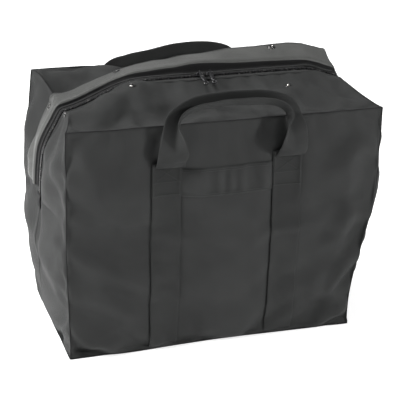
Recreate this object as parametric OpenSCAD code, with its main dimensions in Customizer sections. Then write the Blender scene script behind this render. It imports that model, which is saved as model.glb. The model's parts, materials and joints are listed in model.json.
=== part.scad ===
// Soft flight bag with a long two-way zip, a storm flap and two webbing carry handles.
// X runs along the bag's width, -Y is its front and +Z is up. The origin is the middle
// of the footprint, on the surface that the bag stands on. The fabric walls are flat
// slabs of one thickness. The upper walls stand one lap inside the lower walls, because
// the two halves of the mouth swing apart about fold lines at the height of the zip's ends.

/* [Body] */
// Width of the bag, along the zip
bag_w = 533; // [400:1:700]
// Depth of the bag, front to back
bag_d = 267; // [200:1:360]
// Height of the front and back top seams
seam_h = 400; // [340:1:520]
// Height of the ridge above the top seams
crown_h = 30; // [15:1:60]
// Thickness of the fabric walls
wall = 2; // [1:0.1:3]
// Height of the fold lines, where the zip ends
fold_h = 240; // [150:1:300]
// Gap between a lower wall and the upper wall inside it
lap_gap = 0.5; // [0.3:0.1:1]
// Drop of the upper walls below the fold lines
lap_drop = 24; // [22:1:30]
// Drop of the lower walls' top edges below the fold lines
lower_drop = 16; // [14:1:18]

/* [Webbing] */
// Width of the webbing
web_w = 50; // [38:1:60]
// Thickness of one layer of webbing
web_t = 1.6; // [1:0.1:2.5]
// Distance of each strap's middle from the bag's middle
strap_x = 102; // [70:1:160]
// Height of the handle roots
root_h = 338; // [300:1:380]
// Length of a handle's end that is sewn over its strap
anchor_l = 60; // [40:1:80]
// Height of the cross bands' middle
band_h = 301; // [280:1:320]
// Height of the cross bands
band_w = 50; // [30:1:56]

/* [Handles] */
// Length of a handle above its roots
loop_h = 125; // [90:1:160]
// Length of the folded grip
grip_l = 190; // [120:1:240]
// Height of the folded grip
grip_w = 26; // [18:1:34]
// Thickness of a handle's doubled webbing
handle_t = 3; // [2:0.1:5]
// Outward lean of the resting handles from upright, in degrees
handle_lean = 9; // [0:1:20]

/* [Zip] */
// Distance from the zip's middle to the cut edge of the panels
tape_half = 12; // [9:0.5:18]
// Thickness of the zip tape
tape_t = 1; // [0.6:0.1:1.6]
// Width of one row of teeth
teeth_w = 3.2; // [2:0.1:5]
// Thickness of the rows of teeth
teeth_t = 3.2; // [2:0.1:5]
// Gap from the zip's middle to each row of teeth
teeth_gap = 0.8; // [0.7:0.1:1.5]
// Length of a slider
slider_l = 14; // [10:0.5:20]
// Width of a slider
slider_w = 12.4; // [10:0.2:18]
// Thickness of a slider's plates
plate_t = 1.4; // [1:0.1:2]
// Clearance between a slider and the teeth
slider_gap = 0.4; // [0.3:0.05:0.6]
// Distance of each slider's middle from the bag's middle at rest
slider_x = 9; // [8:0.5:20]
// Radius of a slider's bridge bar
bridge_r = 1.1; // [0.8:0.1:1.6]
// Radial clearance of the pull on the bridge bar
pull_gap = 0.3; // [0.2:0.05:0.5]
// Length of a pull, from the bridge bar to its tip
pull_l = 42; // [30:1:60]
// Width of a pull
pull_w = 9; // [7:0.5:14]
// Thickness of a pull
pull_t = 1.8; // [1.2:0.1:2.6]
// Radius of the lock hole in a pull
lock_r = 2.5; // [1.5:0.1:3.5]
// Droop of a resting pull below level, in degrees
pull_droop = 12; // [5:1:14]

/* [Storm flap] */
// Distance of the flap's root from the zip's middle
flap_y = 22; // [18:1:30]
// Height of the flap's hinge line above the ridge
flap_rise = 12; // [3:0.5:16]
// Length of the flap from root to free edge
flap_l = 60; // [45:1:70]
// Thickness of the flap
flap_t = 1.8; // [1.2:0.1:2.4]
// Turn of the flap's curve from root to free edge, in degrees
flap_turn = 34; // [10:1:45]
// Width of the sewn root under the flap
flap_root_w = 5; // [3:0.5:8]
// Gap between the flap and its root
flap_gap = 0.5; // [0.3:0.1:1]
// Swell of the soft ends, which the flap's end drops stand clear of
end_swell = 14; // [4:1:20]
// Height of the lower ends of the flap's end drops
drop_low = 246; // [200:1:300]
// Height of the upper ends of the flap's end drops
drop_high = 420; // [380:1:430]

/* [Snap fasteners] */
// Distance of the snaps from the zip's middle
snap_y = 40; // [34:1:60]
// Distance of the inner snaps from the bag's middle
snap_in_x = 134; // [100:1:160]
// Distance of the outer snaps from the bag's middle
snap_out_x = 252; // [220:1:256]
// Radius of a snap's base
snap_r = 7.5; // [5:0.5:9]
// Height of a snap's base
snap_t = 1.2; // [0.8:0.1:2]
// Radius of a stud's head
stud_r = 3.6; // [2:0.1:5]
// Height of a stud's head above its base
stud_h = 2.6; // [1.5:0.1:4]

/* [Seams] */
// Width of the bindings inside the seams
bind_w = 9; // [6:0.5:14]
// Thickness of the bindings
bind_t = 1.5; // [1:0.1:3]

/* [Hidden] */
half_w = bag_w / 2;
half_d = bag_d / 2;
lap = wall + lap_gap;
up_w = half_w - lap;
up_d = half_d - lap;
ridge_h = seam_h + crown_h;
floor_z = web_t;
lower_top = fold_h - lower_drop;
upper_low = fold_h - lap_drop;
slope = atan2(crown_h, up_d - tape_half);
slab_drop = wall / cos(slope);
tape_z = ridge_h - tape_t / 2;
tape_edge = teeth_gap + teeth_w;
plate_z = teeth_t / 2 + slider_gap;
bridge_z = ridge_h - tape_t / 2 + plate_z + plate_t + 3.5;
eye_r = 3;
strap_low = fold_h + 6;
handle_gap = 0.6;
hinge_y = half_d + web_t + handle_gap + handle_t / 2;
flap_z = ridge_h + flap_rise;
flap_bend = flap_l / flap_turn * 180 / PI;
drop_x = up_w + 5 + end_swell;
arc_steps = 12;
teeth_x = up_w - tape_t / 2;

fabric = [0.22, 0.225, 0.22];
webbing = [0.19, 0.195, 0.19];
coated = [0.42, 0.42, 0.41];
metal = [0.3, 0.3, 0.31];
tape = [0.1, 0.1, 0.1];

// The outer height of the sloping top at a distance from the zip's middle
function top_z(y) = ridge_h - (y - tape_half) * crown_h / (up_d - tape_half);

// A block between two opposite corners
module block(low, high) {
    translate(low) cube(high - low);
}

// A profile drawn in Y and Z, carried along X between two places
module along_x(x_low, x_high) {
    translate([x_low, 0, 0]) rotate([90, 0, 90]) linear_extrude(x_high - x_low) children();
}

// The child as it is for the front, or turned to the back
module at_back() {
    mirror([0, 1, 0]) children();
}

// The child as it is for the left, or turned to the right
module at_right() {
    mirror([1, 0, 0]) children();
}

// ---- Fixed lower body ----

module bottom_panel() {
    inner_w = half_w - wall;
    inner_d = half_d - wall;
    color(fabric) block([-inner_w, -inner_d, floor_z], [inner_w, inner_d, floor_z + wall]);
}

module wall_lower() {
    color(fabric) block([-half_w, -half_d, floor_z], [half_w, -half_d + wall, lower_top]);
}

module front_panel_lower() {
    wall_lower();
}

module back_panel_lower() {
    at_back() wall_lower();
}

module left_end_lower() {
    inner_d = half_d - wall;
    color(fabric)
    block([-half_w, -inner_d, floor_z], [-half_w + wall, inner_d, lower_top]);
}

module right_end_lower() {
    at_right() left_end_lower();
}

// A strap from the front fold line, under the bottom and up to the back fold line
module strap_base(x) {
    outer_d = half_d + web_t;
    color(webbing) difference() {
        block([x - web_w / 2, -outer_d, 0], [x + web_w / 2, outer_d, lower_top]);
        block([x - web_w, -half_d, web_t], [x + web_w, half_d, lower_top + wall]);
    }
}

module left_strap_base() {
    strap_base(-strap_x);
}

module right_strap_base() {
    strap_base(strap_x);
}

// The tab sewn over the lower end of the zip
module left_zip_stop() {
    stop_l = 16;
    color(tape)
    block([-half_w - tape_t, -tape_half, lower_top - stop_l],
        [-half_w, tape_half, lower_top]);
}

module right_zip_stop() {
    at_right() left_zip_stop();
}

// The binding round the bottom seam, inside the bag
module bottom_binding() {
    low = floor_z + wall;
    outer_w = half_w - wall;
    outer_d = half_d - wall;
    color(tape) difference() {
        block([-outer_w, -outer_d, low], [outer_w, outer_d, low + bind_w]);
        block([-outer_w + bind_t, -outer_d + bind_t, low - wall],
            [outer_w - bind_t, outer_d - bind_t, low + bind_w + wall]);
    }
}

// ---- Front half of the mouth, and its mirror image at the back ----

module wall_upper() {
    color(fabric)
    block([-up_w, -up_d, upper_low], [up_w, -up_d + wall, seam_h - slab_drop]);
}

module top_slab() {
    color(fabric) along_x(-up_w, up_w)
    polygon([[-up_d, seam_h - slab_drop], [-tape_half, ridge_h - slab_drop],
        [-tape_half, ridge_h], [-up_d, seam_h]]);
}

module end_gusset() {
    inner_d = up_d - wall;
    color(fabric) along_x(-up_w, -up_w + wall)
    polygon([[-inner_d, upper_low], [-tape_half, upper_low],
        [-tape_half, ridge_h - slab_drop], [-inner_d, top_z(inner_d) - slab_drop]]);
}

module cross_band() {
    half_band = strap_x - web_w / 2;
    color(fabric)
    block([-half_band, -up_d - web_t, band_h - band_w / 2],
        [half_band, -up_d, band_h + band_w / 2]);
}

// The upper strap, with the handle's root sewn on it as a second layer
module strap_upper(x) {
    anchor_low = root_h - anchor_l;
    color(webbing) {
        block([x - web_w / 2, -up_d - web_t, strap_low], [x + web_w / 2, -up_d, root_h]);
        block([x - web_w / 2, -up_d - 2 * web_t, anchor_low],
            [x + web_w / 2, -up_d - web_t, root_h]);
    }
}

module half_tape() {
    color(tape) {
        block([-up_w, -tape_half, ridge_h - tape_t], [up_w, -tape_edge, ridge_h]);
        for (side = [0, 1]) mirror([side, 0, 0])
            block([-up_w, -tape_half, fold_h], [-up_w + tape_t, -tape_edge, ridge_h]);
    }
}

module half_teeth() {
    reach = teeth_x + teeth_t / 2;
    inner = teeth_x - teeth_t / 2;
    color(metal) difference() {
        block([-reach, -tape_edge, fold_h], [reach, -teeth_gap, tape_z + teeth_t / 2]);
        block([-inner, -tape_edge - wall, fold_h - wall],
            [inner, wall, tape_z - teeth_t / 2]);
    }
}

module stud() {
    cylinder(h = snap_t, r = snap_r, $fn = 48);
    cylinder(h = snap_t + stud_h, r = stud_r, $fn = 48);
}

module front_snap_studs() {
    color(metal) for (x = [-snap_out_x, -snap_in_x, snap_in_x, snap_out_x])
        translate([x, -snap_y, top_z(snap_y)]) rotate([slope, 0, 0]) stud();
}

module top_binding() {
    outer_d = up_d - wall;
    color(tape)
    block([-up_w + wall, -outer_d, seam_h - slab_drop - bind_w - wall],
        [up_w - wall, -outer_d + bind_t, seam_h - slab_drop - wall]);
}

module front_panel_upper() {
    wall_upper();
}

module top_front_panel() {
    top_slab();
}

module left_front_gusset() {
    end_gusset();
}

module right_front_gusset() {
    at_right() end_gusset();
}

module front_cross_band() {
    cross_band();
}

module left_front_strap() {
    strap_upper(-strap_x);
}

module right_front_strap() {
    strap_upper(strap_x);
}

module front_zip_tape() {
    half_tape();
}

module front_zip_teeth() {
    half_teeth();
}

module front_top_binding() {
    top_binding();
}

module back_panel_upper() {
    at_back() wall_upper();
}

module top_back_panel() {
    at_back() top_slab();
}

module left_back_gusset() {
    at_back() end_gusset();
}

module right_back_gusset() {
    at_right() left_back_gusset();
}

module back_cross_band() {
    at_back() cross_band();
}

module left_back_strap() {
    at_back() strap_upper(-strap_x);
}

module right_back_strap() {
    at_back() strap_upper(strap_x);
}

module back_zip_tape() {
    at_back() half_tape();
}

module back_zip_teeth() {
    at_back() half_teeth();
}

module back_top_binding() {
    at_back() top_binding();
}

// ---- Storm flap, folded back behind the zip ----

// The sewn edge that the flap turns on
module storm_flap_root() {
    low_y = flap_y - flap_root_w / 2;
    high_y = flap_y + flap_root_w / 2;
    top = flap_z - flap_t / 2 / cos(slope) - flap_gap - flap_root_w / 2 * tan(slope);
    color(fabric) along_x(-up_w, up_w)
    polygon([[low_y, top_z(low_y)], [high_y, top_z(high_y)], [high_y, top], [low_y, top]]);
}

// A point of the flap's curve: how far along it, and how far off its middle surface
function flap_point(share, off) =
    let (turn = -slope + flap_turn * share, reach = flap_bend + off)
    [flap_y + flap_bend * sin(slope) + reach * sin(turn),
     flap_z + flap_bend * cos(slope) - reach * cos(turn)];

module storm_flap() {
    outer = [for (i = [0 : arc_steps]) flap_point(i / arc_steps, flap_t / 2)];
    inner = [for (i = [arc_steps : -1 : 0]) flap_point(i / arc_steps, -flap_t / 2)];
    color(coated) along_x(-up_w, up_w) polygon(concat(outer, inner));
}

// The sockets near the flap's free edge, on the face that is up while it is folded back
module storm_flap_sockets() {
    share = 1 - (snap_r + 3) / flap_l;
    sit = snap_r * snap_r / (2 * flap_bend) + 0.05;
    place = flap_point(share, -flap_t / 2 - sit);
    color(metal) for (x = [-snap_out_x, -snap_in_x, snap_in_x, snap_out_x])
        translate([x, place[0], place[1]]) rotate([-slope + flap_turn * share, 0, 0])
        difference() {
            cylinder(h = snap_t, r = snap_r, $fn = 48);
            translate([0, 0, snap_t / 2]) cylinder(h = snap_t, r = stud_r, $fn = 48);
        }
}

module left_drop_root() {
    outer = drop_x - flap_t / 2 - flap_gap;
    color(fabric)
    block([-outer, flap_y - flap_root_w / 2, drop_low],
        [-up_w, flap_y + flap_root_w / 2, drop_high]);
}

module right_drop_root() {
    at_right() left_drop_root();
}

module left_flap_drop() {
    color(coated)
    block([-drop_x - flap_t / 2, flap_y, drop_low],
        [-drop_x + flap_t / 2, flap_y + flap_l, drop_high]);
}

module right_flap_drop() {
    at_right() left_flap_drop();
}

// ---- Handles ----

// A standing loop: two legs that lean in towards the ends of the folded grip
module handle() {
    leg_x = strap_x + web_w / 2;
    leg_in = strap_x - web_w / 2;
    grip_end = grip_l / 2;
    grip_low = loop_h - grip_w;
    color(webbing) translate([0, -hinge_y, root_h]) rotate([90 + handle_lean, 0, 0])
    translate([0, 0, -handle_t / 2]) linear_extrude(handle_t)
    polygon([[-leg_x, 0], [-leg_in, 0], [-grip_end + grip_w, grip_low],
        [grip_end - grip_w, grip_low], [leg_in, 0], [leg_x, 0],
        [grip_end, loop_h], [-grip_end, loop_h]]);
}

module front_handle() {
    handle();
}

module rear_handle() {
    at_back() handle();
}

// ---- Sliders and pulls ----

module slider(x) {
    half_l = slider_l / 2;
    post = 2;
    upper = tape_z + plate_z;
    lower = tape_z - plate_z;
    color(metal) translate([x, 0, 0]) {
        difference() {
            block([-half_l, -slider_w / 2, lower - plate_t],
                [half_l, slider_w / 2, upper + plate_t]);
            for (side = [0, 1]) mirror([0, side, 0])
                block([-slider_l, teeth_gap - slider_gap, lower],
                    [slider_l, slider_w, upper]);
        }
        for (side = [-1, 1]) translate([side * (half_l - post), 0, 0])
            block([-post / 2, -bridge_r, upper + plate_t], [post / 2, bridge_r, bridge_z]);
        translate([-half_l + post / 2, 0, bridge_z]) rotate([0, 90, 0])
            cylinder(h = slider_l - post, r = bridge_r, $fn = 32);
    }
}

module left_slider() {
    slider(-slider_x);
}

module right_slider() {
    slider(slider_x);
}

// A pull, hanging on its bridge bar and lying towards the front
module pull(x) {
    eye_w = 3.2;
    neck = eye_r + 2;
    color(metal) translate([x, 0, bridge_z]) rotate([pull_droop, 0, 0]) difference() {
        union() {
            translate([-eye_w / 2, 0, 0]) rotate([0, 90, 0])
                cylinder(h = eye_w, r = eye_r, $fn = 48);
            block([-eye_w / 2, -neck - pull_t, -pull_t / 2], [eye_w / 2, 0, pull_t / 2]);
            block([-pull_w / 2, -pull_l, -pull_t / 2], [pull_w / 2, -neck, pull_t / 2]);
        }
        translate([-pull_w, 0, 0]) rotate([0, 90, 0])
            cylinder(h = 2 * pull_w, r = bridge_r + pull_gap, $fn = 48);
        translate([0, -pull_l + lock_r + 3, -pull_t])
            cylinder(h = 2 * pull_t, r = lock_r, $fn = 48);
    }
}

module left_pull() {
    pull(-slider_x);
}

module right_pull() {
    pull(slider_x);
}

bottom_panel();
front_panel_lower();
back_panel_lower();
left_end_lower();
right_end_lower();
left_strap_base();
right_strap_base();
left_zip_stop();
right_zip_stop();
bottom_binding();
front_panel_upper();
top_front_panel();
left_front_gusset();
right_front_gusset();
front_cross_band();
left_front_strap();
right_front_strap();
front_zip_tape();
front_zip_teeth();
front_snap_studs();
front_top_binding();
back_panel_upper();
top_back_panel();
left_back_gusset();
right_back_gusset();
back_cross_band();
left_back_strap();
right_back_strap();
back_zip_tape();
back_zip_teeth();
back_top_binding();
storm_flap_root();
left_drop_root();
right_drop_root();
storm_flap();
storm_flap_sockets();
left_flap_drop();
right_flap_drop();
front_handle();
rear_handle();
left_slider();
left_pull();
right_slider();
right_pull();
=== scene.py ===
# %% [markdown]
# # A soft flight bag
# This lesson builds the cloth, webbing and metal of a soft flight bag round a frame of
# plain CAD bodies. The frame says where every part is and how it moves. The looks are
# made here: a sewn shell that sags and puckers, webbing that lies on it, a toothed zip,
# snaps and two carry handles.

# %% Load the frame
import bpy, bmesh, json, math, random
from mathutils import Vector, Matrix, noise
from mathutils.bvhtree import BVHTree
from math import pi, sin, cos, radians


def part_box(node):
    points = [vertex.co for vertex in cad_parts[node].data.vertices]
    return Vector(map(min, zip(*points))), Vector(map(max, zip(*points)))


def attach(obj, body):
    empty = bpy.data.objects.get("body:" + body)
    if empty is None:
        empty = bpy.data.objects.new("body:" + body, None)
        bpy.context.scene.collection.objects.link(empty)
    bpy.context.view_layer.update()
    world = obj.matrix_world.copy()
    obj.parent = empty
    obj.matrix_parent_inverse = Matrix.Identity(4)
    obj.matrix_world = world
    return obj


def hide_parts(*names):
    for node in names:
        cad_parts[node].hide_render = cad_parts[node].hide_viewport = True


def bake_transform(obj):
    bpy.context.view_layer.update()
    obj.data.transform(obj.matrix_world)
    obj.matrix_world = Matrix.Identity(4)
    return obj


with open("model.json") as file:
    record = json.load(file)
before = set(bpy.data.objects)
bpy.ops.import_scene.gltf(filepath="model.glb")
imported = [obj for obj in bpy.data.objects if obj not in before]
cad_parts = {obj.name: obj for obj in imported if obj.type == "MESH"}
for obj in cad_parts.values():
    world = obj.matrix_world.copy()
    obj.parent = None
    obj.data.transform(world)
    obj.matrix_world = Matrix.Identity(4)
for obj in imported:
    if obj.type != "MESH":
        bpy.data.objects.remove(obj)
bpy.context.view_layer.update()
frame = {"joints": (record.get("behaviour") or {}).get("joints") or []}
random.seed(7)

# %% [markdown]
# The driving sizes come from the frame's own nodes: the lower walls give the width and
# depth, the top panel gives the height of its seam and of the ridge that holds the zip.

# %% Driving sizes
walls_low, walls_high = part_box("front_panel_lower")
top_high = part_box("top_front_panel")[1]
HALF_W = walls_high[0]
HALF_D = -walls_low[1]
RIDGE_Z = top_high[2]
SEAM_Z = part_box("front_panel_upper")[1][2] + 0.002
CROWN = RIDGE_Z - SEAM_Z
SLOT = -top_high[1]                      # half the gap that the zip tape fills
ZIP_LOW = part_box("front_zip_tape")[0][2]  # the zip's lower ends
STRAP_X = sum(c[0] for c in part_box("right_front_strap")) / 2
WEB_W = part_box("right_front_strap")[1][0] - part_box("right_front_strap")[0][0]
ROOT_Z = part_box("right_front_strap")[1][2]
HINGES = {j["name"]: j for j in frame["joints"]}
HINGE_Y = HINGES["rear_handle_fold"]["pos_m"][1]
FLAP_Y = HINGES["flap_fold"]["pos_m"][1]
CLOTH_T = 0.0015
WEB_T = 0.0016
print(f"bag {2 * HALF_W:.3f} x {2 * HALF_D:.3f} x {SEAM_Z:.3f} m, ridge at {RIDGE_Z:.3f} m")

# %% [markdown]
# The camera looks at the bag's front and left end from above with a long lens, so the
# edges stay nearly parallel. It has a small roll. One hard lamp stands at the front
# right and throws the handle's shadow to the left; the others are soft.

# %% Camera, floor and light
def make_camera(yaw, rise, distance, lens, target, roll):
    a, e = radians(yaw), radians(rise)
    back = Vector((-sin(a) * cos(e), -cos(a) * cos(e), sin(e)))
    right = (-back).cross(Vector((0, 0, 1))).normalized()
    up = right.cross(-back)
    r = radians(roll)
    right, up = right * cos(r) + up * sin(r), -right * sin(r) + up * cos(r)
    data = bpy.data.cameras.new("view_camera")
    data.lens = lens
    data.sensor_width = 36
    camera = bpy.data.objects.new("view_camera", data)
    place = Vector(target) + back * distance
    rows = [(*(axis[i] for axis in (right, up, back)), place[i]) for i in range(3)]
    camera.matrix_world = Matrix(rows + [(0, 0, 0, 1)])
    bpy.context.collection.objects.link(camera)
    bpy.context.scene.camera = camera


def make_light(name, place, aim, size, power):
    data = bpy.data.lights.new(name, "AREA")
    data.shape, data.size, data.energy = "DISK", size, power
    lamp = bpy.data.objects.new(name, data)
    lamp.location = place
    lamp.rotation_euler = (Vector(aim) - Vector(place)).to_track_quat("-Z", "Y").to_euler()
    bpy.context.collection.objects.link(lamp)


make_camera(yaw=16.83, rise=22.99, distance=3.0, lens=158.0,
            target=(-0.003, 0, 0.2058), roll=1.29)
make_light("key_right", (2.3, -2.0, 1.5), (0, 0, 0.25), 0.35, 80)
make_light("fill_left", (-2.6, -0.2, 1.9), (0, 0, 0.28), 0.9, 150)
make_light("top_back", (-0.4, 1.2, 2.6), (0, 0, 0.3), 1.0, 36)

world = bpy.data.worlds.new("studio")
world.use_nodes = True
world.node_tree.nodes["Background"].inputs["Color"].default_value = (1, 1, 1, 1)
world.node_tree.nodes["Background"].inputs["Strength"].default_value = 0.27
bpy.context.scene.world = world
bpy.context.scene.view_settings.view_transform = "Standard"

floor_mesh = bpy.data.meshes.new("floor")
floor_shape = bmesh.new()
bmesh.ops.create_grid(floor_shape, x_segments=1, y_segments=1, size=12)
floor_shape.to_mesh(floor_mesh)
floor_shape.free()
floor = bpy.data.objects.new("floor", floor_mesh)
bpy.context.collection.objects.link(floor)
print("camera, three lamps and a pale floor")

# %% [markdown]
# ## Finishes
# Nylon cloth is a fine grid of threads with faint mottling and a soft sheen. One node
# group gives the weave's height and a colour mask, and every cloth material places it
# with its own thread size. The pattern follows each piece's own UV map, which holds
# distances on the flat cloth in metres.

# %% Node helpers and the weave group
def nodes_of(tree):
    return tree.nodes, tree.links


def math_node(tree, kind, a, b=None):
    node = tree.nodes.new("ShaderNodeMath")
    node.operation = kind
    for socket, value in zip(node.inputs, (a, b)):
        if hasattr(value, "default_value") or hasattr(value, "links"):
            tree.links.new(value, socket)
        elif value is not None:
            socket.default_value = value
    return node.outputs[0]


def noise_node(tree, place, scale, detail):
    node = tree.nodes.new("ShaderNodeTexNoise")
    node.inputs["Scale"].default_value = scale
    node.inputs["Detail"].default_value = detail
    tree.links.new(place, node.inputs["Vector"])
    return node.outputs["Fac"]


def two_tones(tree, mask, low, low_tone, high, high_tone):
    """A colour ramp from one tone to another as the mask goes from low to high."""
    ramp = tree.nodes.new("ShaderNodeValToRGB")
    for end, place, tone in zip(ramp.color_ramp.elements, (low, high), (low_tone, high_tone)):
        end.position = place
        end.color = (*tone, 1)
    tree.links.new(mask, ramp.inputs["Fac"])
    return ramp.outputs["Color"]


def make_weave_group():
    group = bpy.data.node_groups.new("thread_weave", "ShaderNodeTree")
    for label, way, kind in (("Cloth place", "INPUT", "Vector"), ("Solid place", "INPUT", "Vector"),
                             ("Threads per metre", "INPUT", "Float"),
                             ("Height", "OUTPUT", "Float"), ("Mottle", "OUTPUT", "Float")):
        group.interface.new_socket(label, in_out=way, socket_type="NodeSocket" + kind)
    nodes, links = nodes_of(group)
    given, made = nodes.new("NodeGroupInput"), nodes.new("NodeGroupOutput")
    split = nodes.new("ShaderNodeSeparateXYZ")
    links.new(given.outputs["Cloth place"], split.inputs[0])
    waves = []
    for axis in ("X", "Y"):
        turns = math_node(group, "MULTIPLY", split.outputs[axis],
                          given.outputs["Threads per metre"])
        phase = math_node(group, "MULTIPLY", turns, 2 * pi)
        waves.append(math_node(group, "SINE", phase))
    over = math_node(group, "MULTIPLY", waves[0], waves[1])
    ribs = math_node(group, "ABSOLUTE", waves[0])
    grid = math_node(group, "ADD", over, math_node(group, "MULTIPLY", ribs, 0.4))
    speckle = noise_node(group, given.outputs["Solid place"], 900, 3)
    cloud = noise_node(group, given.outputs["Solid place"], 14, 5)
    rough = math_node(group, "ADD", grid, math_node(group, "MULTIPLY", speckle, 0.8))
    links.new(rough, made.inputs["Height"])
    both = math_node(group, "ADD", math_node(group, "MULTIPLY", cloud, 0.75),
                     math_node(group, "MULTIPLY", speckle, 0.25))
    links.new(both, made.inputs["Mottle"])
    return group


WEAVE = make_weave_group()
print("weave group with", len(WEAVE.nodes), "nodes")

# %% [markdown]
# Each cloth material mixes two close tones by the mottle, and bumps the surface by the
# weave's height. Metal has blackened paint that has worn to bright metal in spots.

# %% Materials
def cloth_material(name, dark, light, threads, bump, roughness, sheen):
    material = bpy.data.materials.new(name)
    material.use_nodes = True
    tree = material.node_tree
    nodes, links = nodes_of(tree)
    shader = nodes["Principled BSDF"]
    uv = nodes.new("ShaderNodeUVMap")
    uv.uv_map = "cloth"
    place = nodes.new("ShaderNodeTexCoord")
    weave = nodes.new("ShaderNodeGroup")
    weave.node_tree = WEAVE
    links.new(uv.outputs["UV"], weave.inputs["Cloth place"])
    links.new(place.outputs["Object"], weave.inputs["Solid place"])
    weave.inputs["Threads per metre"].default_value = threads
    tone = two_tones(tree, weave.outputs["Mottle"], 0.35, dark, 0.65, light)
    links.new(tone, shader.inputs["Base Color"])
    bumper = nodes.new("ShaderNodeBump")
    bumper.inputs["Strength"].default_value = bump
    bumper.inputs["Distance"].default_value = 0.0004
    links.new(weave.outputs["Height"], bumper.inputs["Height"])
    links.new(bumper.outputs["Normal"], shader.inputs["Normal"])
    shader.inputs["Roughness"].default_value = roughness
    shader.inputs["Sheen Weight"].default_value = sheen
    shader.inputs["Sheen Roughness"].default_value = 0.45
    shader.inputs["Specular IOR Level"].default_value = 0.2
    return material


def metal_material(name, paint, bare, wear):
    material = bpy.data.materials.new(name)
    material.use_nodes = True
    tree = material.node_tree
    nodes, links = nodes_of(tree)
    shader = nodes["Principled BSDF"]
    place = nodes.new("ShaderNodeTexCoord")
    spots = noise_node(tree, place.outputs["Object"], 260, 6)
    tone = two_tones(tree, spots, 1 - wear, paint, min(1.0, 1.06 - wear), bare)
    links.new(tone, shader.inputs["Base Color"])
    gloss = math_node(tree, "MULTIPLY_ADD", spots, 0.35)
    gloss.node.inputs[2].default_value = 0.12
    links.new(gloss, shader.inputs["Roughness"])
    shader.inputs["Metallic"].default_value = 0.85
    return material


BODY = cloth_material("body_nylon", (0.0130, 0.0135, 0.0133), (0.0195, 0.0203, 0.0199),
                      1100, 0.35, 0.62, 0.02)
WEBBING = cloth_material("ribbed_webbing", (0.0105, 0.0110, 0.0108), (0.0155, 0.0163, 0.0158),
                         420, 0.6, 0.66, 0.04)
COATED = cloth_material("coated_lining", (0.046, 0.047, 0.045), (0.070, 0.071, 0.068),
                        1100, 0.2, 0.42, 0.05)
# Near-black tape for the zip's tapes and end stops. The same colour is also painted shade: at the
# storm flap's foot and on the seam cords.
TAPE_AND_PAINTED_SHADE = cloth_material("zip_tape", (0.0045, 0.0045, 0.0048), (0.0080, 0.0080, 0.0082),
                      800, 0.5, 0.75, 0.05)
THREAD = cloth_material("sewing_thread", (0.022, 0.023, 0.022), (0.034, 0.036, 0.035),
                        1500, 0.5, 0.6, 0.1)
BLACK_METAL = metal_material("blackened_metal", (0.03, 0.03, 0.032), (0.35, 0.34, 0.33), 0.40)
SNAP_METAL = metal_material("blackened_snaps", (0.045, 0.045, 0.045), (0.55, 0.53, 0.5), 0.42)
FLOOR = cloth_material("pale_floor", (0.90, 0.90, 0.90), (0.93, 0.93, 0.93), 10, 0.0, 0.9, 0)
floor_shader = FLOOR.node_tree.nodes["Principled BSDF"]
floor_shader.inputs["Emission Color"].default_value = (1, 1, 1, 1)
floor_shader.inputs["Emission Strength"].default_value = 0.5
floor_mesh.materials.append(FLOOR)
print("materials:", [m.name for m in bpy.data.materials])

# %% [markdown]
# ## The soft shell
# The bag starts as a plain box that is cut by planes into a fine grid, with closer cuts
# beside the seams. Its UV map is laid flat while the box is still square. Then a form
# function moves every point: the crown rises to the zip's ridge, the ends swell, and the
# lower right corner draws in, as a loosely filled bag does.

# %% The form of the filled bag
def smooth(low, high, value):
    t = min(1.0, max(0.0, (value - low) / (high - low)))
    return t * t * (3 - 2 * t)


STRAIGHT = (0.115, 0.190)   # where the ridge begins to fall, on the left and on the right
LIFT = 0.0018         # the bottom panel rests on the straps' thickness


def crown_at(x, y):
    """The height of the top above its seams."""
    off = abs(y) / HALF_D
    across = min(1.0, (1 - off) / (1 - SLOT / HALF_D))
    keep, start = (-0.40, STRAIGHT[0]) if x < 0 else (0.50, STRAIGHT[1])
    along = 1 - (1 - keep) * smooth(start, HALF_W, abs(x)) ** 0.9
    belly = (0.005 + 0.006 * smooth(-0.02, -0.16, x)) * sin(pi * off)
    return CROWN * across * along + belly


def form(p):
    """Moves a point of the square box to its place on the filled bag."""
    x, y, z = p
    u, v, w = x / HALF_W, y / HALF_D, z / SEAM_Z
    side = 1 if x > 0 else -1
    middle = 1 - v * v
    swell = sin(pi * min(1.0, max(0.0, w)) ** 1.25)
    rear = smooth(-0.9, 0.4, v)
    end_push = (0.0165 if x < 0 else 0.011) * swell * (0.35 * middle + 0.65 * rear)
    shoulder = 0.024 if x < 0 else 0.034
    end_pull = shoulder * middle ** 0.8 * smooth(0.80, 1.02, w)
    x += side * (end_push - end_pull) * abs(u) ** 3
    low_right = smooth(0.30, 0.03, z) if z < 0.30 else 0.0
    x -= 0.036 * low_right * max(0.0, u) ** 3 * (1 - 0.4 * rear)
    x += 0.006 * smooth(0.2, 0.0, z) * max(0.0, -u) ** 3
    bulge = 0.004 * (1 - abs(u) ** 2.2) * sin(pi * min(1.0, max(0.0, w)) ** 0.8)
    y += bulge * v * abs(v)
    tuck = 0.013 * smooth(0.22, 0.0, z) * smooth(-0.75, 0.1, u)
    y -= tuck * v
    z += crown_at(p[0], y) * smooth(0.55, 1.0, w) ** 2
    left = smooth(-0.1, -0.7, u)
    hollow = sin(pi * min(1.0, max(0.0, v) / 0.8))   # where the folded flap presses
    z += (0.017 * smooth(0.5, 1.0, v) - 0.018 * hollow) * left * smooth(0.75, 1.0, w)
    x += 0.010 * hollow * max(0.0, -u) ** 3 * smooth(0.55, 0.70, w)
    z = max(z * (1 - LIFT / SEAM_Z) + LIFT, LIFT)
    return Vector((x, y, z))


# %% Cut the box into a grid and lay its UV map
def cut_rows(mesh, axis, places):
    normal = Vector([1.0 if i == axis else 0.0 for i in range(3)])
    for place in places:
        everything = mesh.verts[:] + mesh.edges[:] + mesh.faces[:]
        bmesh.ops.bisect_plane(mesh, geom=everything, plane_co=normal * place,
                               plane_no=normal, dist=1e-6)


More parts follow.
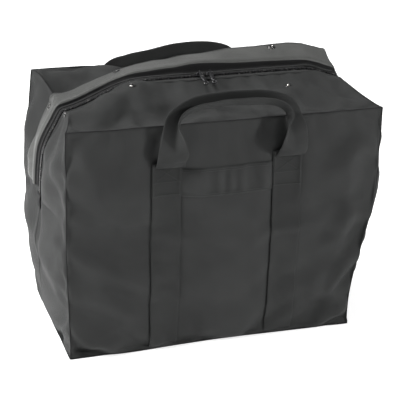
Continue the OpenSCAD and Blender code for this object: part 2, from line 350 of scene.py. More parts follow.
def even_cuts(low, high, step, near=(0.004, 0.0095)):
    count = round((high - low) / step)
    inner = [low + (high - low) * i / count for i in range(1, count)]
    edges = [low + n for n in near] + [high - n for n in near]
    return sorted(inner + edges)


def flat_uv(mesh):
    layer = mesh.loops.layers.uv.new("cloth")
    for face in mesh.faces:
        n = face.normal
        drop = max(range(3), key=lambda i: abs(n[i]))
        keep = [i for i in range(3) if i != drop]
        for loop in face.loops:
            loop[layer].uv = [loop.vert.co[i] for i in keep]


def add_object(name, mesh_bm, material, smooth_faces=True):
    data = bpy.data.meshes.new(name)
    mesh_bm.to_mesh(data)
    mesh_bm.free()
    data.materials.append(material)
    for polygon in data.polygons:
        polygon.use_smooth = smooth_faces
    piece = bpy.data.objects.new(name, data)
    bpy.context.collection.objects.link(piece)
    return piece


GRID = 0.0115
shell = bmesh.new()
bmesh.ops.create_cube(shell, size=1)
bmesh.ops.scale(shell, vec=(2 * HALF_W, 2 * HALF_D, SEAM_Z), verts=shell.verts)
bmesh.ops.translate(shell, vec=(0, 0, SEAM_Z / 2), verts=shell.verts)
cut_rows(shell, 0, even_cuts(-HALF_W, HALF_W, GRID))
cut_rows(shell, 1, even_cuts(-HALF_D, HALF_D, GRID) + [-SLOT, 0, SLOT])
cut_rows(shell, 2, even_cuts(0, SEAM_Z, GRID) + [ZIP_LOW])
flat_uv(shell)
wall_of = shell.faces.layers.int.new("wall")
for face in shell.faces:
    n = face.normal
    axis = max(range(3), key=lambda i: abs(n[i]))
    face[wall_of] = axis * 2 + (1 if n[axis] > 0 else 0)
seam_of = shell.verts.layers.float.new("seam")
for vert in shell.verts:
    walls = {f[wall_of] for f in vert.link_faces}
    vert[seam_of] = float(len(walls) > 1)
shell.verts.index_update()
square = {v.index: v.co.copy() for v in shell.verts}
for vert in shell.verts:
    vert.co = form(vert.co)
print("shell grid:", len(shell.verts), "points,", len(shell.faces), "faces")

# %% [markdown]
# A sewn bag is never smooth: the cloth is a little longer than its seams, so it ripples
# beside them and sags between them. The cloth simulation makes these ripples. The seams,
# the zip's edges and the bottom are held, the cloth grows by a few parts in a hundred,
# a light pressure fills it, and each point may move only a short way.

# %% Let the cloth settle
CLOTH_FRAMES = 22
CLOTH_GROWTH = 0.030
CLOTH_CAP = 0.013


def hold_of(vert):
    """How firmly a point is held, from 0 to 1."""
    p = square[vert.index]
    if p.z < 1e-4 or vert[seam_of] > 0.5:
        return 1.0
    if abs(p.y) <= SLOT + 0.001 and (p.z > SEAM_Z - 1e-4 or p.z > ZIP_LOW - 0.001):
        return 1.0
    if abs(abs(p.x) - STRAP_X) < WEB_W / 2 and abs(p.y) > HALF_D - 1e-4 and p.z < ROOT_Z:
        return 0.25
    return 0.0


def settle(mesh):
    data = bpy.data.meshes.new("settling")
    mesh.to_mesh(data)
    cloth = bpy.data.objects.new("settling", data)
    bpy.context.collection.objects.link(cloth)
    held = cloth.vertex_groups.new(name="held")
    for vert in mesh.verts:
        held.add([vert.index], hold_of(vert), "REPLACE")
    sim = cloth.modifiers.new("cloth", "CLOTH")
    s = sim.settings
    s.quality = 6
    s.mass = 0.25
    s.tension_stiffness = s.compression_stiffness = 22
    s.shear_stiffness = 8
    s.bending_stiffness = 0.35
    s.vertex_group_mass = "held"
    s.shrink_min = -CLOTH_GROWTH
    s.use_pressure = True
    s.uniform_pressure_force = 0.9
    s.effector_weights.gravity = 0.25
    sim.collision_settings.use_collision = False
    scene = bpy.context.scene
    for step in range(1, CLOTH_FRAMES + 1):
        scene.frame_set(step)
    after = cloth.evaluated_get(bpy.context.evaluated_depsgraph_get()).data
    moved = 0.0
    for vert in mesh.verts:
        push = after.vertices[vert.index].co - vert.co
        if push.length > CLOTH_CAP:
            push = push.normalized() * CLOTH_CAP
        vert.co = vert.co + push
        moved = max(moved, push.length)
    scene.frame_set(1)
    bpy.data.objects.remove(cloth)
    bpy.data.meshes.remove(data)
    return moved


print(f"cloth settled, the furthest point by {settle(shell) * 1000:.1f} mm")

# %% [markdown]
# Some folds have a place of their own: long soft diagonals at the lower left, a hollow
# down the right edge, gathers under the top seam and pinched bottom corners. Each fold is
# a line on its wall with a width and a depth, and pushes the cloth in and out beside it.

# %% Lay in the long folds
FRONT_FOLDS = (  # x and z of both ends, half width, height of the ridge (all metres)
    (-0.255, 0.385, -0.205, 0.300, 0.013, 0.0045), (-0.258, 0.330, -0.165, 0.235, 0.016, 0.0040),
    (-0.255, 0.250, -0.130, 0.165, 0.017, 0.0050), (-0.245, 0.190, -0.125, 0.115, 0.015, 0.0045),
    (-0.240, 0.120, -0.150, 0.070, 0.013, 0.0040), (-0.230, 0.300, -0.150, 0.285, 0.014, 0.0025),
    (-0.070, 0.235, 0.020, 0.190, 0.014, 0.0030), (-0.060, 0.200, 0.000, 0.170, 0.010, 0.0025),
    (-0.070, 0.120, 0.040, 0.100, 0.020, 0.0025), (0.055, 0.150, 0.075, 0.060, 0.014, 0.0025),
    (0.255, 0.360, 0.165, 0.285, 0.018, 0.0040), (0.250, 0.255, 0.180, 0.150, 0.016, 0.0040),
    (0.245, 0.150, 0.200, 0.055, 0.012, 0.0050), (0.234, 0.330, 0.236, 0.110, 0.014, -0.0050),
    (0.150, 0.085, 0.245, 0.045, 0.012, 0.0040), (0.195, 0.014, 0.262, 0.030, 0.007, 0.0075),
    (-0.264, 0.030, -0.185, 0.014, 0.008, 0.0065), (-0.262, 0.055, -0.225, 0.012, 0.008, 0.0050))
BACK_FOLDS = tuple((-a, b, -c, d, e, f) for a, b, c, d, e, f in FRONT_FOLDS)
END_FOLDS = (
    (-0.125, 0.360, -0.040, 0.255, 0.016, 0.0040), (-0.120, 0.250, -0.050, 0.215, 0.014, 0.0030),
    (0.120, 0.340, 0.045, 0.240, 0.016, 0.0045), (-0.110, 0.130, 0.090, 0.190, 0.020, 0.0035),
    (-0.120, 0.045, -0.040, 0.022, 0.010, 0.0060), (0.110, 0.060, 0.020, 0.030, 0.012, 0.0050))
TOP_FOLDS = (
    (-0.230, -0.110, -0.150, -0.050, 0.014, 0.0035), (-0.120, -0.120, -0.090, -0.050, 0.013, 0.0025),
    (0.240, -0.115, 0.170, -0.045, 0.015, 0.0040), (0.100, -0.120, 0.125, -0.055, 0.014, 0.0025),
    (-0.235, 0.110, -0.160, 0.060, 0.014, 0.0035), (0.210, 0.120, 0.120, 0.070, 0.015, 0.0035),
    (-0.060, -0.122, 0.050, -0.112, 0.011, 0.0022), (-0.210, -0.050, -0.090, -0.042, 0.030, 0.0080))
WALLS = {0: ((1, 2), (-1, 0, 0), END_FOLDS), 1: ((1, 2), (1, 0, 0), END_FOLDS),
         2: ((0, 2), (0, -1, 0), FRONT_FOLDS), 3: ((0, 2), (0, 1, 0), BACK_FOLDS),
         5: ((0, 1), (0, 0, 1), TOP_FOLDS)}


def fold_height(a, b, folds):
    total = 0.0
    for a0, b0, a1, b1, width, height in folds:
        run = Vector((a1 - a0, b1 - b0))
        off = Vector((a - a0, b - b0))
        share = off.dot(run) / run.length_squared
        side = (off.x * run.y - off.y * run.x) / run.length
        fade = smooth(-0.15, 0.25, share) * smooth(1.15, 0.75, share)
        if fade > 0 and abs(side) < 4 * width:
            ridge = math.exp(-(side / width) ** 2)
            valley = math.exp(-((side - 1.7 * width) / width) ** 2)
            total += 1.5 * height * fade * (ridge - 0.7 * valley)
    return total


def gathers(x, z):
    """Small gathers under the top seams, deeper at the left."""
    if z < SEAM_Z - 0.09:
        return 0.0
    deep = 0.0024 * smooth(-0.10, -0.16, x) + 0.0007
    below = max(0.0, SEAM_Z - z)
    beat = sin(2 * pi * x / 0.027 + 2.5 * noise.noise(Vector((x * 9, 0, 2))))
    return deep * beat * math.exp(-below / 0.022) * smooth(0, 0.006, below)


def lay_folds(mesh):
    pushes = {}
    for vert in mesh.verts:
        p = square[vert.index]
        push = Vector()
        for wall in {f[wall_of] for f in vert.link_faces}:
            if wall not in WALLS:
                continue
            (i, j), out, folds = WALLS[wall]
            amount = fold_height(p[i], p[j], folds)
            if wall in (2, 3):
                amount += gathers(p.x if wall == 2 else -p.x, p.z)
            grain = noise.fractal(p * 16 + Vector((wall, 0, 0)), 1.0, 2.0, 3)
            amount += 0.0013 * grain
            soft = 0.35 if vert[seam_of] > 0.5 else 1.0
            push += Vector(out) * amount * soft
        if hold_of(vert) > 0.9 and vert[seam_of] < 0.5:
            push = Vector()
        pushes[vert] = push
    for vert, push in pushes.items():
        vert.co = vert.co + push
        vert.co.z = max(vert.co.z, LIFT)
    return max(p.length for p in pushes.values())


SEAM_PULL = 0.0016


def pull_seams(mesh):
    """Draws the seam lines into the bag, so that the cloth rolls over beside them."""
    centre = Vector((0, 0, 0.2))
    for vert in mesh.verts:
        if vert[seam_of] > 0.5 and vert.co.z > 0.01:
            vert.co = vert.co + (centre - vert.co).normalized() * SEAM_PULL


print(f"folds up to {lay_folds(shell) * 1000:.1f} mm")
pull_seams(shell)
surface = BVHTree.FromBMesh(shell)

# %% [markdown]
# The shell is now cut into its sewn panels. Each one keeps its own faces, gets the
# cloth's thickness on the inside and one subdivision. The bottom and the top panels are
# attached to their bodies; the walls keep their place and do not bend.

# %% Cut the shell into panels
def finish_cloth(piece, thickness=CLOTH_T):
    wall = piece.modifiers.new("thickness", "SOLIDIFY")
    wall.thickness, wall.offset = thickness, -1.0
    wall.use_even_offset = False
    rounder = piece.modifiers.new("smooth", "SUBSURF")
    rounder.levels = rounder.render_levels = 1
    return piece


def bend(piece):
    """Bakes the piece's place into its mesh; the piece does not bend."""
    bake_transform(piece)


def face_middle(face):
    total = Vector()
    for vert in face.verts:
        total += square[vert.index]
    return total / len(face.verts)


def cut_panel(name, keep):
    part = shell.copy()
    part.verts.index_update()
    layer = part.faces.layers.int["wall"]
    extra = [f for f in part.faces if not keep(f[layer], face_middle(f))]
    bmesh.ops.delete(part, geom=extra, context="FACES")
    return finish_cloth(add_object(name, part, BODY))


def beside_zip(c):
    return abs(c.y) < SLOT and c.z > ZIP_LOW


bottom = cut_panel("bottom_cloth", lambda w, c: w == 4)
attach(bottom, "bag")
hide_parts("bottom_panel", "bottom_binding")
for half, wall, way in (("front", 2, -1), ("back", 3, 1)):
    body = half + "_half"
    side_panel = cut_panel(half + "_cloth", lambda w, c: w == wall)
    bend(side_panel)
    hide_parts(half + "_panel_lower", half + "_panel_upper", half + "_top_binding")
    top_panel = cut_panel("top_" + half + "_cloth", lambda w, c: w == 5 and c.y * way > SLOT)
    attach(top_panel, body)
    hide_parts("top_" + half + "_panel")
    for end, end_wall in (("left", 0), ("right", 1)):
        gusset = cut_panel(f"{end}_{half}_end_cloth",
                           lambda w, c: w == end_wall and c.y * way > 0 and not beside_zip(c))
        bend(gusset)
        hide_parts(f"{end}_{half}_gusset", f"{end}_end_lower")
print("nine panels cut from the shell")

# %% [markdown]
# ## Webbing
# A strap is one length of ribbed webbing that is sewn to the shell, so it follows every
# ripple. A strip starts as a flat grid, and a place function lays each of its points: it
# looks straight at the shell from outside and rests on the point that it meets.

# %% Strips that lie on the shell
def strip(name, across, along, width, length, place, material, thickness):
    """A grid of width by length metres, laid by place(u, v) with u and v from 0 to 1."""
    mesh = bmesh.new()
    bmesh.ops.create_grid(mesh, x_segments=across, y_segments=along, size=1)
    layer = mesh.loops.layers.uv.new("cloth")
    for face in mesh.faces:
        for loop in face.loops:
            u, v = (loop.vert.co.x + 1) / 2, (loop.vert.co.y + 1) / 2
            loop[layer].uv = (u * width, v * length)
    for vert in mesh.verts:
        vert.co = place((vert.co.x + 1) / 2, (vert.co.y + 1) / 2)
    mesh.normal_update()
    piece = add_object(name, mesh, material)
    return finish_cloth(piece, thickness)


def rest_on(start, toward, lift):
    """The point of the shell that a look from start meets, raised by lift."""
    way = Vector(toward).normalized()
    hit = surface.ray_cast(Vector(start), way, 0.3)[0]
    if hit is None:
        hit = surface.find_nearest(Vector(start))[0]
    return hit - way * lift


def on_front(x, z, lift, side=-1):
    """On the front wall for side -1, and on the back wall for side 1."""
    spread = 0.004
    hits = [rest_on((x + dx, side * 0.25, z + dz), (0, -side, 0), lift)
            for dx, dz in ((0, 0), (spread, 0), (-spread, 0), (0, spread), (0, -spread))]
    return sum(hits, Vector()) / len(hits)


CORNER = 0.016        # where a strap begins its turn under the bag
TURN_UNDER = 0.030    # how far a wall strap reaches under the bag
ON_SHELL = WEB_T + 0.0002


def strap_place(x_mid, side, lift):
    """Lays a strap down one wall and round the bottom corner."""
    def place(u, v):
        x = x_mid + (u - 0.5) * WEB_W * -side
        run = v * (ROOT_Z + TURN_UNDER)
        if run < ROOT_Z - CORNER:
            return on_front(x, ROOT_Z - run, lift, side)
        turn = (run - ROOT_Z + CORNER) / (CORNER + TURN_UNDER)
        wall = on_front(x, CORNER, lift, side)
        floor_y = side * (HALF_D - 0.038)
        low = Vector((x, wall.y, 0.0005))
        far = Vector((x, floor_y, 0.0002))
        return wall.lerp(low, turn).lerp(low.lerp(far, turn), turn)
    return place


for label, x_mid in (("left", -STRAP_X), ("right", STRAP_X)):
    for half, side in (("front", -1), ("back", 1)):
        strap = strip(f"{label}_{half}_strap_web", 8, 60, WEB_W, ROOT_Z + TURN_UNDER,
                      strap_place(x_mid, side, ON_SHELL), WEBBING, WEB_T)
        bend(strap)
        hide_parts(f"{label}_{half}_strap")
    base_d = HALF_D - 0.036
    base = strip(f"{label}_base_web", 8, 30, WEB_W, 2 * base_d,
                 lambda u, v: Vector((x_mid + (u - 0.5) * WEB_W, (v * 2 - 1) * base_d,
                                      0.0002)), WEBBING, WEB_T)
    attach(base, "bag")
    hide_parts(f"{label}_strap_base")
print("four wall straps and two base straps")

# %% [markdown]
# A band of the body's own cloth is sewn across each wall between the straps. It is a
# little too long for its place, so it puckers. It lies under the straps at both ends.

# %% Cross bands
band_low, band_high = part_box("front_cross_band")
BAND_Z0, BAND_Z1 = band_low[2], band_high[2]


def band_place(side):
    def place(u, v):
        x = (u - 0.5) * 2 * (STRAP_X - WEB_W / 2 + 0.006) * -side
        z = BAND_Z0 + (BAND_Z1 - BAND_Z0) * v
        edge = 1 - abs(2 * v - 1) ** 4
        pucker = 0.0022 * edge * (0.6 + sin(x * 230 + 2.0 * sin(x * 60) + v)) \
            + 0.0030 * edge * math.exp(-((x - side * 0.066) / 0.012) ** 2)
        return on_front(x, z, 0.0007 + max(0.0, pucker), side)
    return place


for half, side in (("front", -1), ("back", 1)):
    band = strip(half + "_band_cloth", 44, 12, 2 * STRAP_X - WEB_W, BAND_Z1 - BAND_Z0,
                 band_place(side), BODY, 0.0009)
    bend(band)
    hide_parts(half + "_cross_band")
print("two cross bands")

# %% [markdown]
# ## Carry handles
# A handle is the same webbing, doubled. Its ends are sewn flat over the straps. Above
# the roots the legs stand away from the wall, lean in, and fold lengthwise into a trough
# that makes the grip. The strip's middle line follows a curve, and a fold angle that
# grows along the legs turns its front half up and over.

# %% Handle curve and cross-section
ANCHOR = 0.060          # the sewn length below each root
GRIP_FOLD = radians(135)
GRIP_LEAN = radians(-6)  # the grip's back half leans over the front half
HANDLE_LEAN = math.tan(radians(9))
HANDLE_Y = -HINGE_Y + 0.0055
HANDLE_T = 0.0024        # two layers of webbing, pressed together
HANDLE_LENGTH = 0.75
FRONT_LOOP = (  # x, y off the handle's plane and z above the root, from left to right
    (-0.102, 0.007, -ANCHOR), (-0.102, 0.006, -0.030), (-0.101, 0.0045, -0.003),
    (-0.098, -0.009, -0.009), (-0.096, -0.019, 0.008), (-0.094, -0.020, 0.030),
    (-0.089, -0.011, 0.053), (-0.081, -0.002, 0.073), (-0.056, 0.0, 0.086),
    (-0.014, 0.0, 0.091), (0.028, 0.0, 0.091), (0.066, 0.0, 0.086), (0.090, -0.002, 0.074),
    (0.096, -0.010, 0.060), (0.104, -0.019, 0.036), (0.108, -0.020, 0.012),
    (0.106, -0.010, -0.005), (0.102, 0.0045, 0.003), (0.102, 0.006, -0.026),
    (0.102, 0.007, 0.006 - ANCHOR))
REAR_LOOP = (
    (-0.102, 0.007, -ANCHOR), (-0.102, 0.006, -0.030), (-0.102, 0.0045, -0.002),
    (-0.100, -0.007, -0.008), (-0.097, -0.014, 0.008), (-0.094, -0.014, 0.030),
    (-0.088, -0.008, 0.048), (-0.078, -0.002, 0.067), (-0.054, 0.0, 0.077),
    (-0.020, 0.0, 0.079), (0.020, 0.0, 0.077), (0.062, 0.0, 0.070), (0.094, -0.002, 0.064),
    (0.117, -0.006, 0.058), (0.124, -0.012, 0.036), (0.116, -0.014, 0.012),
    (0.107, -0.007, -0.008), (0.103, 0.0045, -0.002), (0.102, 0.006, -0.030),
    (0.102, 0.007, -ANCHOR))
SEWN = 2 / (len(FRONT_LOOP) - 1)         # the share of the strip that is sewn down


def handle_line(points, share):
    """The middle line from the left anchor (0) to the right anchor (1)."""
    spot = min(max(share, 0.0), 1.0) * (len(points) - 1)
    i = min(int(spot), len(points) - 2)
    t = spot - i
    a, b, c, d = (Vector(points[min(max(k, 0), len(points) - 1)])
                  for k in (i - 1, i, i + 1, i + 2))
    curve = 0.5 * (2 * b + (c - a) * t + (2 * a - 5 * b + 4 * c - d) * t * t
                   + (3 * b - a - 3 * c + d) * t ** 3)
    lean = HANDLE_LEAN * max(0.0, curve.z)
    return Vector((curve.x, HANDLE_Y + curve.y - lean, ROOT_Z + curve.z))


def handle_place(points, side):
    def place(u, v):
        here = handle_line(points, v)
        run = handle_line(points, v + 0.012) - handle_line(points, v - 0.012)
        inner = min(v, 1 - v)
        if inner < SEWN * 1.9:
            run = Vector((0, 0, 1 if v < 0.5 else -1))
        run = Vector((run.x, 0, run.z)).normalized()
        outer = Vector((-run.z, 0, run.x))
        climb = smooth(1.8 * SEWN, 3.9 * SEWN, inner)
        fold, lean = GRIP_FOLD * climb, GRIP_LEAN * climb
        front = Vector((0, -1, 0))
        t = (u - 0.5) * WEB_W
        if t < 0:
            point = here + (outer * cos(lean) - front * sin(lean)) * -t
        else:
            point = here + (-outer * cos(fold) + front * sin(fold)) * t
        loose = smooth(SEWN, 1.8 * SEWN, inner)
        belly = 0.0045 * (1 - (2 * u - 1) ** 2) * (1 - climb) * loose
        grain = noise.noise(point * 24 + Vector((side, 0, 0))) * 0.0022 * loose
        point += Vector((grain, -belly - abs(grain), grain))
        if point.z < SEAM_Z:
            clear = 2 * WEB_T + 0.0004 + 0.003 * loose
            shell_y = -abs(on_front(point.x * -side, point.z, clear, side).y)
            point.y = shell_y if inner < SEWN else min(point.y, shell_y)
        return Vector((point.x * -side, point.y * -side, point.z))
    return place


for name, half, side, points in (("front_handle", "front_half", -1, FRONT_LOOP),
                                 ("rear_handle", "back_half", 1, REAR_LOOP)):
    loop = strip(name + "_web", 10, 160, WEB_W, HANDLE_LENGTH, handle_place(points, side),
                 WEBBING, HANDLE_T)
    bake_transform(loop)
    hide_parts(name)
print("two handles of doubled webbing")

# %% [markdown]
# ## The zip
# A long chain zip runs over the top and down both ends. Its tapes are woven ribbons that
# lie just under the edges of the panels, and each tape's edge carries a row of small
# moulded teeth. The path is the shell's own middle line, so the zip bends with the crown.

# %% The zip's path
def zip_path():
    """Points along the middle of the top and both ends, from the left end's foot."""
    on_line = [v for v in shell.verts if abs(square[v.index].y) < 1e-6]
    low = [v for v in on_line if ZIP_LOW - 1e-6 < square[v.index].z < SEAM_Z - 1e-6]
    left = [v for v in low if square[v.index].x < -HALF_W + 1e-6]
    right = [v for v in low if square[v.index].x > HALF_W - 1e-6]
    top = [v for v in on_line if square[v.index].z > SEAM_Z - 1e-6]
    order = sorted(left, key=lambda v: square[v.index].z)
    order += sorted(top, key=lambda v: square[v.index].x)
    order += sorted(right, key=lambda v: -square[v.index].z)
    raw = [Vector((v.co.x, 0, v.co.z)) for v in order]
    for _ in range(4):
        inner = [(a + 2 * b + c) / 4 for a, b, c in zip(raw, raw[1:], raw[2:])]
        raw = [raw[0]] + inner + [raw[-1]]
    return raw


def walk(points, gap):
    """Evenly spaced places along a line of points, each with its direction."""
    places, left_over = [], 0.0
    for a, b in zip(points, points[1:]):
        run = (b - a).length
        way = (b - a) / run
        at = left_over
        while at < run:
            places.append((a + way * at, way))
            at += gap
        left_over = at - run
    return places


ZIP = zip_path()
ZIP_LENGTH = sum((b - a).length for a, b in zip(ZIP, ZIP[1:]))
ZIP_SUNK = 0.0014


def zip_frame(share):
    """The place at a share of the zip's length, with its direction and outward normal."""
    spot = share * (len(ZIP) - 1)
    i = min(int(spot), len(ZIP) - 2)
    here = ZIP[i].lerp(ZIP[i + 1], spot - i)
    way = (ZIP[min(i + 2, len(ZIP) - 1)] - ZIP[max(i - 1, 0)]).normalized()
    return here, way, Vector((-way.z, 0, way.x))


# %% Tapes and teeth
def tape_place(side):
    def place(u, v):
        here, way, out = zip_frame(v)
        off = 0.0022 + (SLOT + 0.003) * (u if side > 0 else 1 - u)
        dip = ZIP_SUNK + 0.0004 * sin(v * 260)
        return here + Vector((0, side * off, 0)) - out * dip
    return place


TOOTH_PITCH = 0.0033
TOOTH_ROOT = (0.00075, 0.0016, 0.0015)   # half sizes along the zip, across it and up
TOOTH_TIP = (0.00110, 0.0010, 0.0011)


def join_boxes(name, boxes, material):
    """Many small blocks in one mesh. Each is a place, three half sizes with their axes."""
    mesh = bmesh.new()
    for place, along, across, up, sizes in boxes:
        made = bmesh.ops.create_cube(mesh, size=2)["verts"]
        turn = Matrix((along * sizes[0], across * sizes[1], up * sizes[2])).transposed()
        bmesh.ops.transform(mesh, verts=made, matrix=Matrix.Translation(place) @ turn.to_4x4())
    bmesh.ops.recalc_face_normals(mesh, faces=mesh.faces)
    return add_object(name, mesh, material, smooth_faces=False)


def zip_teeth(side):
    boxes = []
    shift = 0.0 if side < 0 else 0.5
    places = walk(ZIP, TOOTH_PITCH)
    for k, (here, way) in enumerate(places[:-1]):
        here = here.lerp(places[k + 1][0], shift)
        out = Vector((-way.z, 0, way.x))
        across = Vector((0, side, 0))
        root = here + across * 0.0028 + out * -0.0004
        tip = here + across * 0.0009 + out * -0.0004
        boxes.append((root, way, across, out, TOOTH_ROOT))
        boxes.append((tip, way, across, out, TOOTH_TIP))
    return boxes


for half, side in (("front", -1), ("back", 1)):
    tape = strip(half + "_tape_web", 4, 150, SLOT, ZIP_LENGTH, tape_place(side), TAPE_AND_PAINTED_SHADE, 0.0008)
    teeth = join_boxes(half + "_teeth", zip_teeth(side), BLACK_METAL)
    for piece, node, finish in ((tape, "_zip_tape", "tape"), (teeth, "_zip_teeth", "zip_metal")):
        bend(piece)
        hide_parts(half + node)
print(f"zip of {ZIP_LENGTH:.2f} m with {2 * len(walk(ZIP, TOOTH_PITCH))} teeth")

# %% [markdown]
# A short tab of tape is folded over each lower end of the zip and sewn down, so that the
# sliders cannot run off.

# %% End stops
STOP_W, STOP_H = 0.030, 0.024

for label, share in (("left", 0.0), ("right", 1.0)):
    here, way, out = zip_frame(share)
    out = Vector((out.x, 0, 0)).normalized()

    def stop_place(u, v):
        y = (u - 0.5) * STOP_W
        z = ZIP_LOW - 0.018 + v * STOP_H
        x = rest_on((out.x * 0.4, y, z), (-out.x, 0, 0), 0.0).x
        return Vector((x, y, z)) + out * (0.0024 + 0.0006 * (1 - (2 * v - 1) ** 2))

    flip = stop_place if out.x > 0 else lambda u, v: stop_place(1 - u, v)
    stop = strip(label + "_stop_tab", 8, 6, STOP_W, STOP_H, flip, TAPE_AND_PAINTED_SHADE, 0.0016)
    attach(stop, "bag")
    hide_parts(label + "_zip_stop")
print("two end stops")

# %% [markdown]
# ## Storm flap
# The flap is a long double strip, sewn down just behind the zip and folded back, so its
# coated inner face shows. It runs along the zip's path, over the top and down both ends:
# a long strip on the top, and a drop at each end. Each row across
# the strip is drawn by stepping along an angle that swings from the foot, which stands
# almost straight up, to the rest angle of the part that lies back. The foot's rows are
# near-black tape: painted shade for the dark gap under the flap's roll.

# %% The flap along the zip's path
FLAP_L = 0.060
FLAP_T = 0.0020
FLAP_CLEAR = 0.0042      # the folded flap stays this far off the shell
FLAP_ROWS = 20           # faces across the strip
FLAP_STEPS = 16          # steps along the angle, for each point
FOOT_ANGLE = (85, 98)    # degrees at the ends of the bag and on its top
DROP_STAND = 0.003       # how high a drop stands before it rolls back
DROP_REST = -13          # a drop's rest angle in degrees
SEWN_LIFT = 0.0012       # the sewn edge's height over the shell
RIPPLE = 0.0012
ROOT_W = 0.009           # the sewn edge in front of the fold
PAINTED_SHADE_FOOT_SHARE = 0.3          # the share of the strip's rows in the foot, near-black tape as painted shade
CORNER_Z = SEAM_Z - 0.022    # the long strip gives way to the drops at this height


def path_share(test):
    """The share of the zip's path at the first point that passes the test."""
    return next(i for i, p in enumerate(ZIP) if test(p)) / (len(ZIP) - 1)


CORNER_LAP = 0.012   # the long strip laps over the drops by this share of the path
LEFT_CORNER = path_share(lambda p: p.z > CORNER_Z)
RIGHT_CORNER = path_share(lambda p: p.x > 0 and p.z < CORNER_Z)
DROP_LEFT = path_share(lambda p: p.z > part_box("left_flap_drop")[0][2])
DROP_RIGHT = path_share(lambda p: p.x > 0 and p.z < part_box("right_flap_drop")[0][2])


# How high the flap stands before it rolls back (metres), and its rest angle (degrees),
# both by the place along the bag's width.
FLAP_STAND = ((-0.25, 0.005), (-0.147, 0.006), (-0.106, 0.008), (-0.054, 0.012),
              (-0.012, 0.017), (0.085, 0.012), (0.17, 0.010), (0.25, 0.008))
FLAP_REST = ((-0.25, -6), (-0.147, -12), (-0.054, -5), (-0.012, 0), (0.085, 12),
             (0.17, 16), (0.25, 21))


def at_x(table, x):
    """The value at x between the rows of a table of (x, value)."""
    for (x0, a), (x1, b) in zip(table, table[1:]):
        if x < x1:
            return a + (b - a) * smooth(x0, x1, x)
    return table[-1][1]


def flap_place(first, last):
    """Lays the flap: sewn flat, then up and over its root in a roll, then back."""
    def place(u, v):
        u = 1 - u
        share = first + (last - first) * v
        here, way, out = zip_frame(share)
        level = max(0.0, out.z) ** 2
        stand = DROP_STAND + (at_x(FLAP_STAND, here.x) - DROP_STAND) * level
        if u < PAINTED_SHADE_FOOT_SHARE:
            run = u / PAINTED_SHADE_FOOT_SHARE * (ROOT_W + stand)
        else:
            run = ROOT_W + stand + (u - PAINTED_SHADE_FOOT_SHARE) / (1 - PAINTED_SHADE_FOOT_SHARE) * (FLAP_L - stand)
        fall = CROWN / (HALF_D - SLOT) * level
        rise = SEWN_LIFT - (FLAP_Y - ROOT_W - SLOT) * fall
        if run < ROOT_W:
            return here + Vector((0, FLAP_Y - ROOT_W + run, 0)) + out * (rise - run * fall)
        wave = noise.noise(Vector((share * 11, 3.0, 0)))
        top_rest = at_x(FLAP_REST, here.x) + 3 * wave
        rest = radians(DROP_REST + (top_rest - DROP_REST) * level)
        foot = radians(FOOT_ANGLE[0] + (FOOT_ANGLE[1] - FOOT_ANGLE[0]) * level)
        y, rise = FLAP_Y, rise - ROOT_W * fall
        t = (run - ROOT_W) / FLAP_L
        step = FLAP_L * t / FLAP_STEPS
        for k in range(FLAP_STEPS):
            gone = step * (k + 0.5)
            angle = foot + (rest - foot) * smooth(stand - 0.004, stand + 0.009, gone)
            y += cos(angle) * step
            rise += sin(angle) * step
        ripple = RIPPLE * t * noise.noise(Vector((share * 40, t * 2, 5.0)))
        point = here + Vector((0, y, 0)) + out * (rise + ripple)
        near, normal = surface.find_nearest(point)[:2]
        clear = (point - near).dot(normal)
        if clear < FLAP_CLEAR:
            point += normal * (FLAP_CLEAR - clear)
        return point
    return place


def make_flap(name, first, last, along):
    flap = strip(name, FLAP_ROWS, along, FLAP_L, (last - first) * ZIP_LENGTH,
                 flap_place(first, last), COATED, FLAP_T)
    # Slots: coated face, body underside, and near-black tape on both faces of the foot. The foot's
    # tape is painted shade for the gap under the flap's roll.
    for material in (BODY, TAPE_AND_PAINTED_SHADE, TAPE_AND_PAINTED_SHADE):
        flap.data.materials.append(material)
    flap.modifiers["thickness"].material_offset = 1
    flap.modifiers["thickness"].material_offset_rim = 1
    for face in flap.data.polygons:
        if face.index % FLAP_ROWS >= FLAP_ROWS * (1 - PAINTED_SHADE_FOOT_SHARE):
            face.material_index = 2
    return flap


FLAP_FIRST, FLAP_LAST = LEFT_CORNER - CORNER_LAP, RIGHT_CORNER + CORNER_LAP
flap = make_flap("storm_flap_cloth", FLAP_FIRST, FLAP_LAST, 110)


def turn_with_flap(piece):
    """Bakes the piece's place into its mesh; the piece does not turn with the flap."""
    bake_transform(piece)


turn_with_flap(flap)
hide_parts("storm_flap", "storm_flap_root")
for label, first, last in (("left", DROP_LEFT, LEFT_CORNER), ("right", RIGHT_CORNER, DROP_RIGHT)):
    drop = make_flap(label + "_drop_cloth", first, last, 30)
    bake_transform(drop)
    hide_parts(label + "_flap_drop", label + "_drop_root")
print("storm flap and two end drops")

# %% [markdown]
# ## Snaps
# Each snap is a stud on the front of the top and a socket on the flap. Both are turned
# shapes, so half a profile is spun round its axis.

# %% Studs and sockets
def turned(name, profile, places, material, steps=28):
    """Spins a profile of (radius, height) at each (place, axis)."""
    mesh = bmesh.new()
    for place, axis in places:
        part = bmesh.new()
        points = [part.verts.new((r, 0, h)) for r, h in profile]
        edges = [part.edges.new(pair) for pair in zip(points, points[1:])]
        bmesh.ops.spin(part, geom=points + edges, cent=(0, 0, 0), axis=(0, 0, 1),
                       angle=2 * pi, steps=steps, use_merge=True)
        bmesh.ops.remove_doubles(part, verts=part.verts, dist=1e-6)
        bmesh.ops.recalc_face_normals(part, faces=part.faces)
        turn = Vector(axis).to_track_quat("Z", "Y").to_matrix().to_4x4()
        bmesh.ops.transform(part, verts=part.verts, matrix=Matrix.Translation(place) @ turn)
        scrap = bpy.data.meshes.new("scrap")
        part.to_mesh(scrap)
        part.free()
        mesh.from_mesh(scrap)
        bpy.data.meshes.remove(scrap)
    return add_object(name, mesh, material)


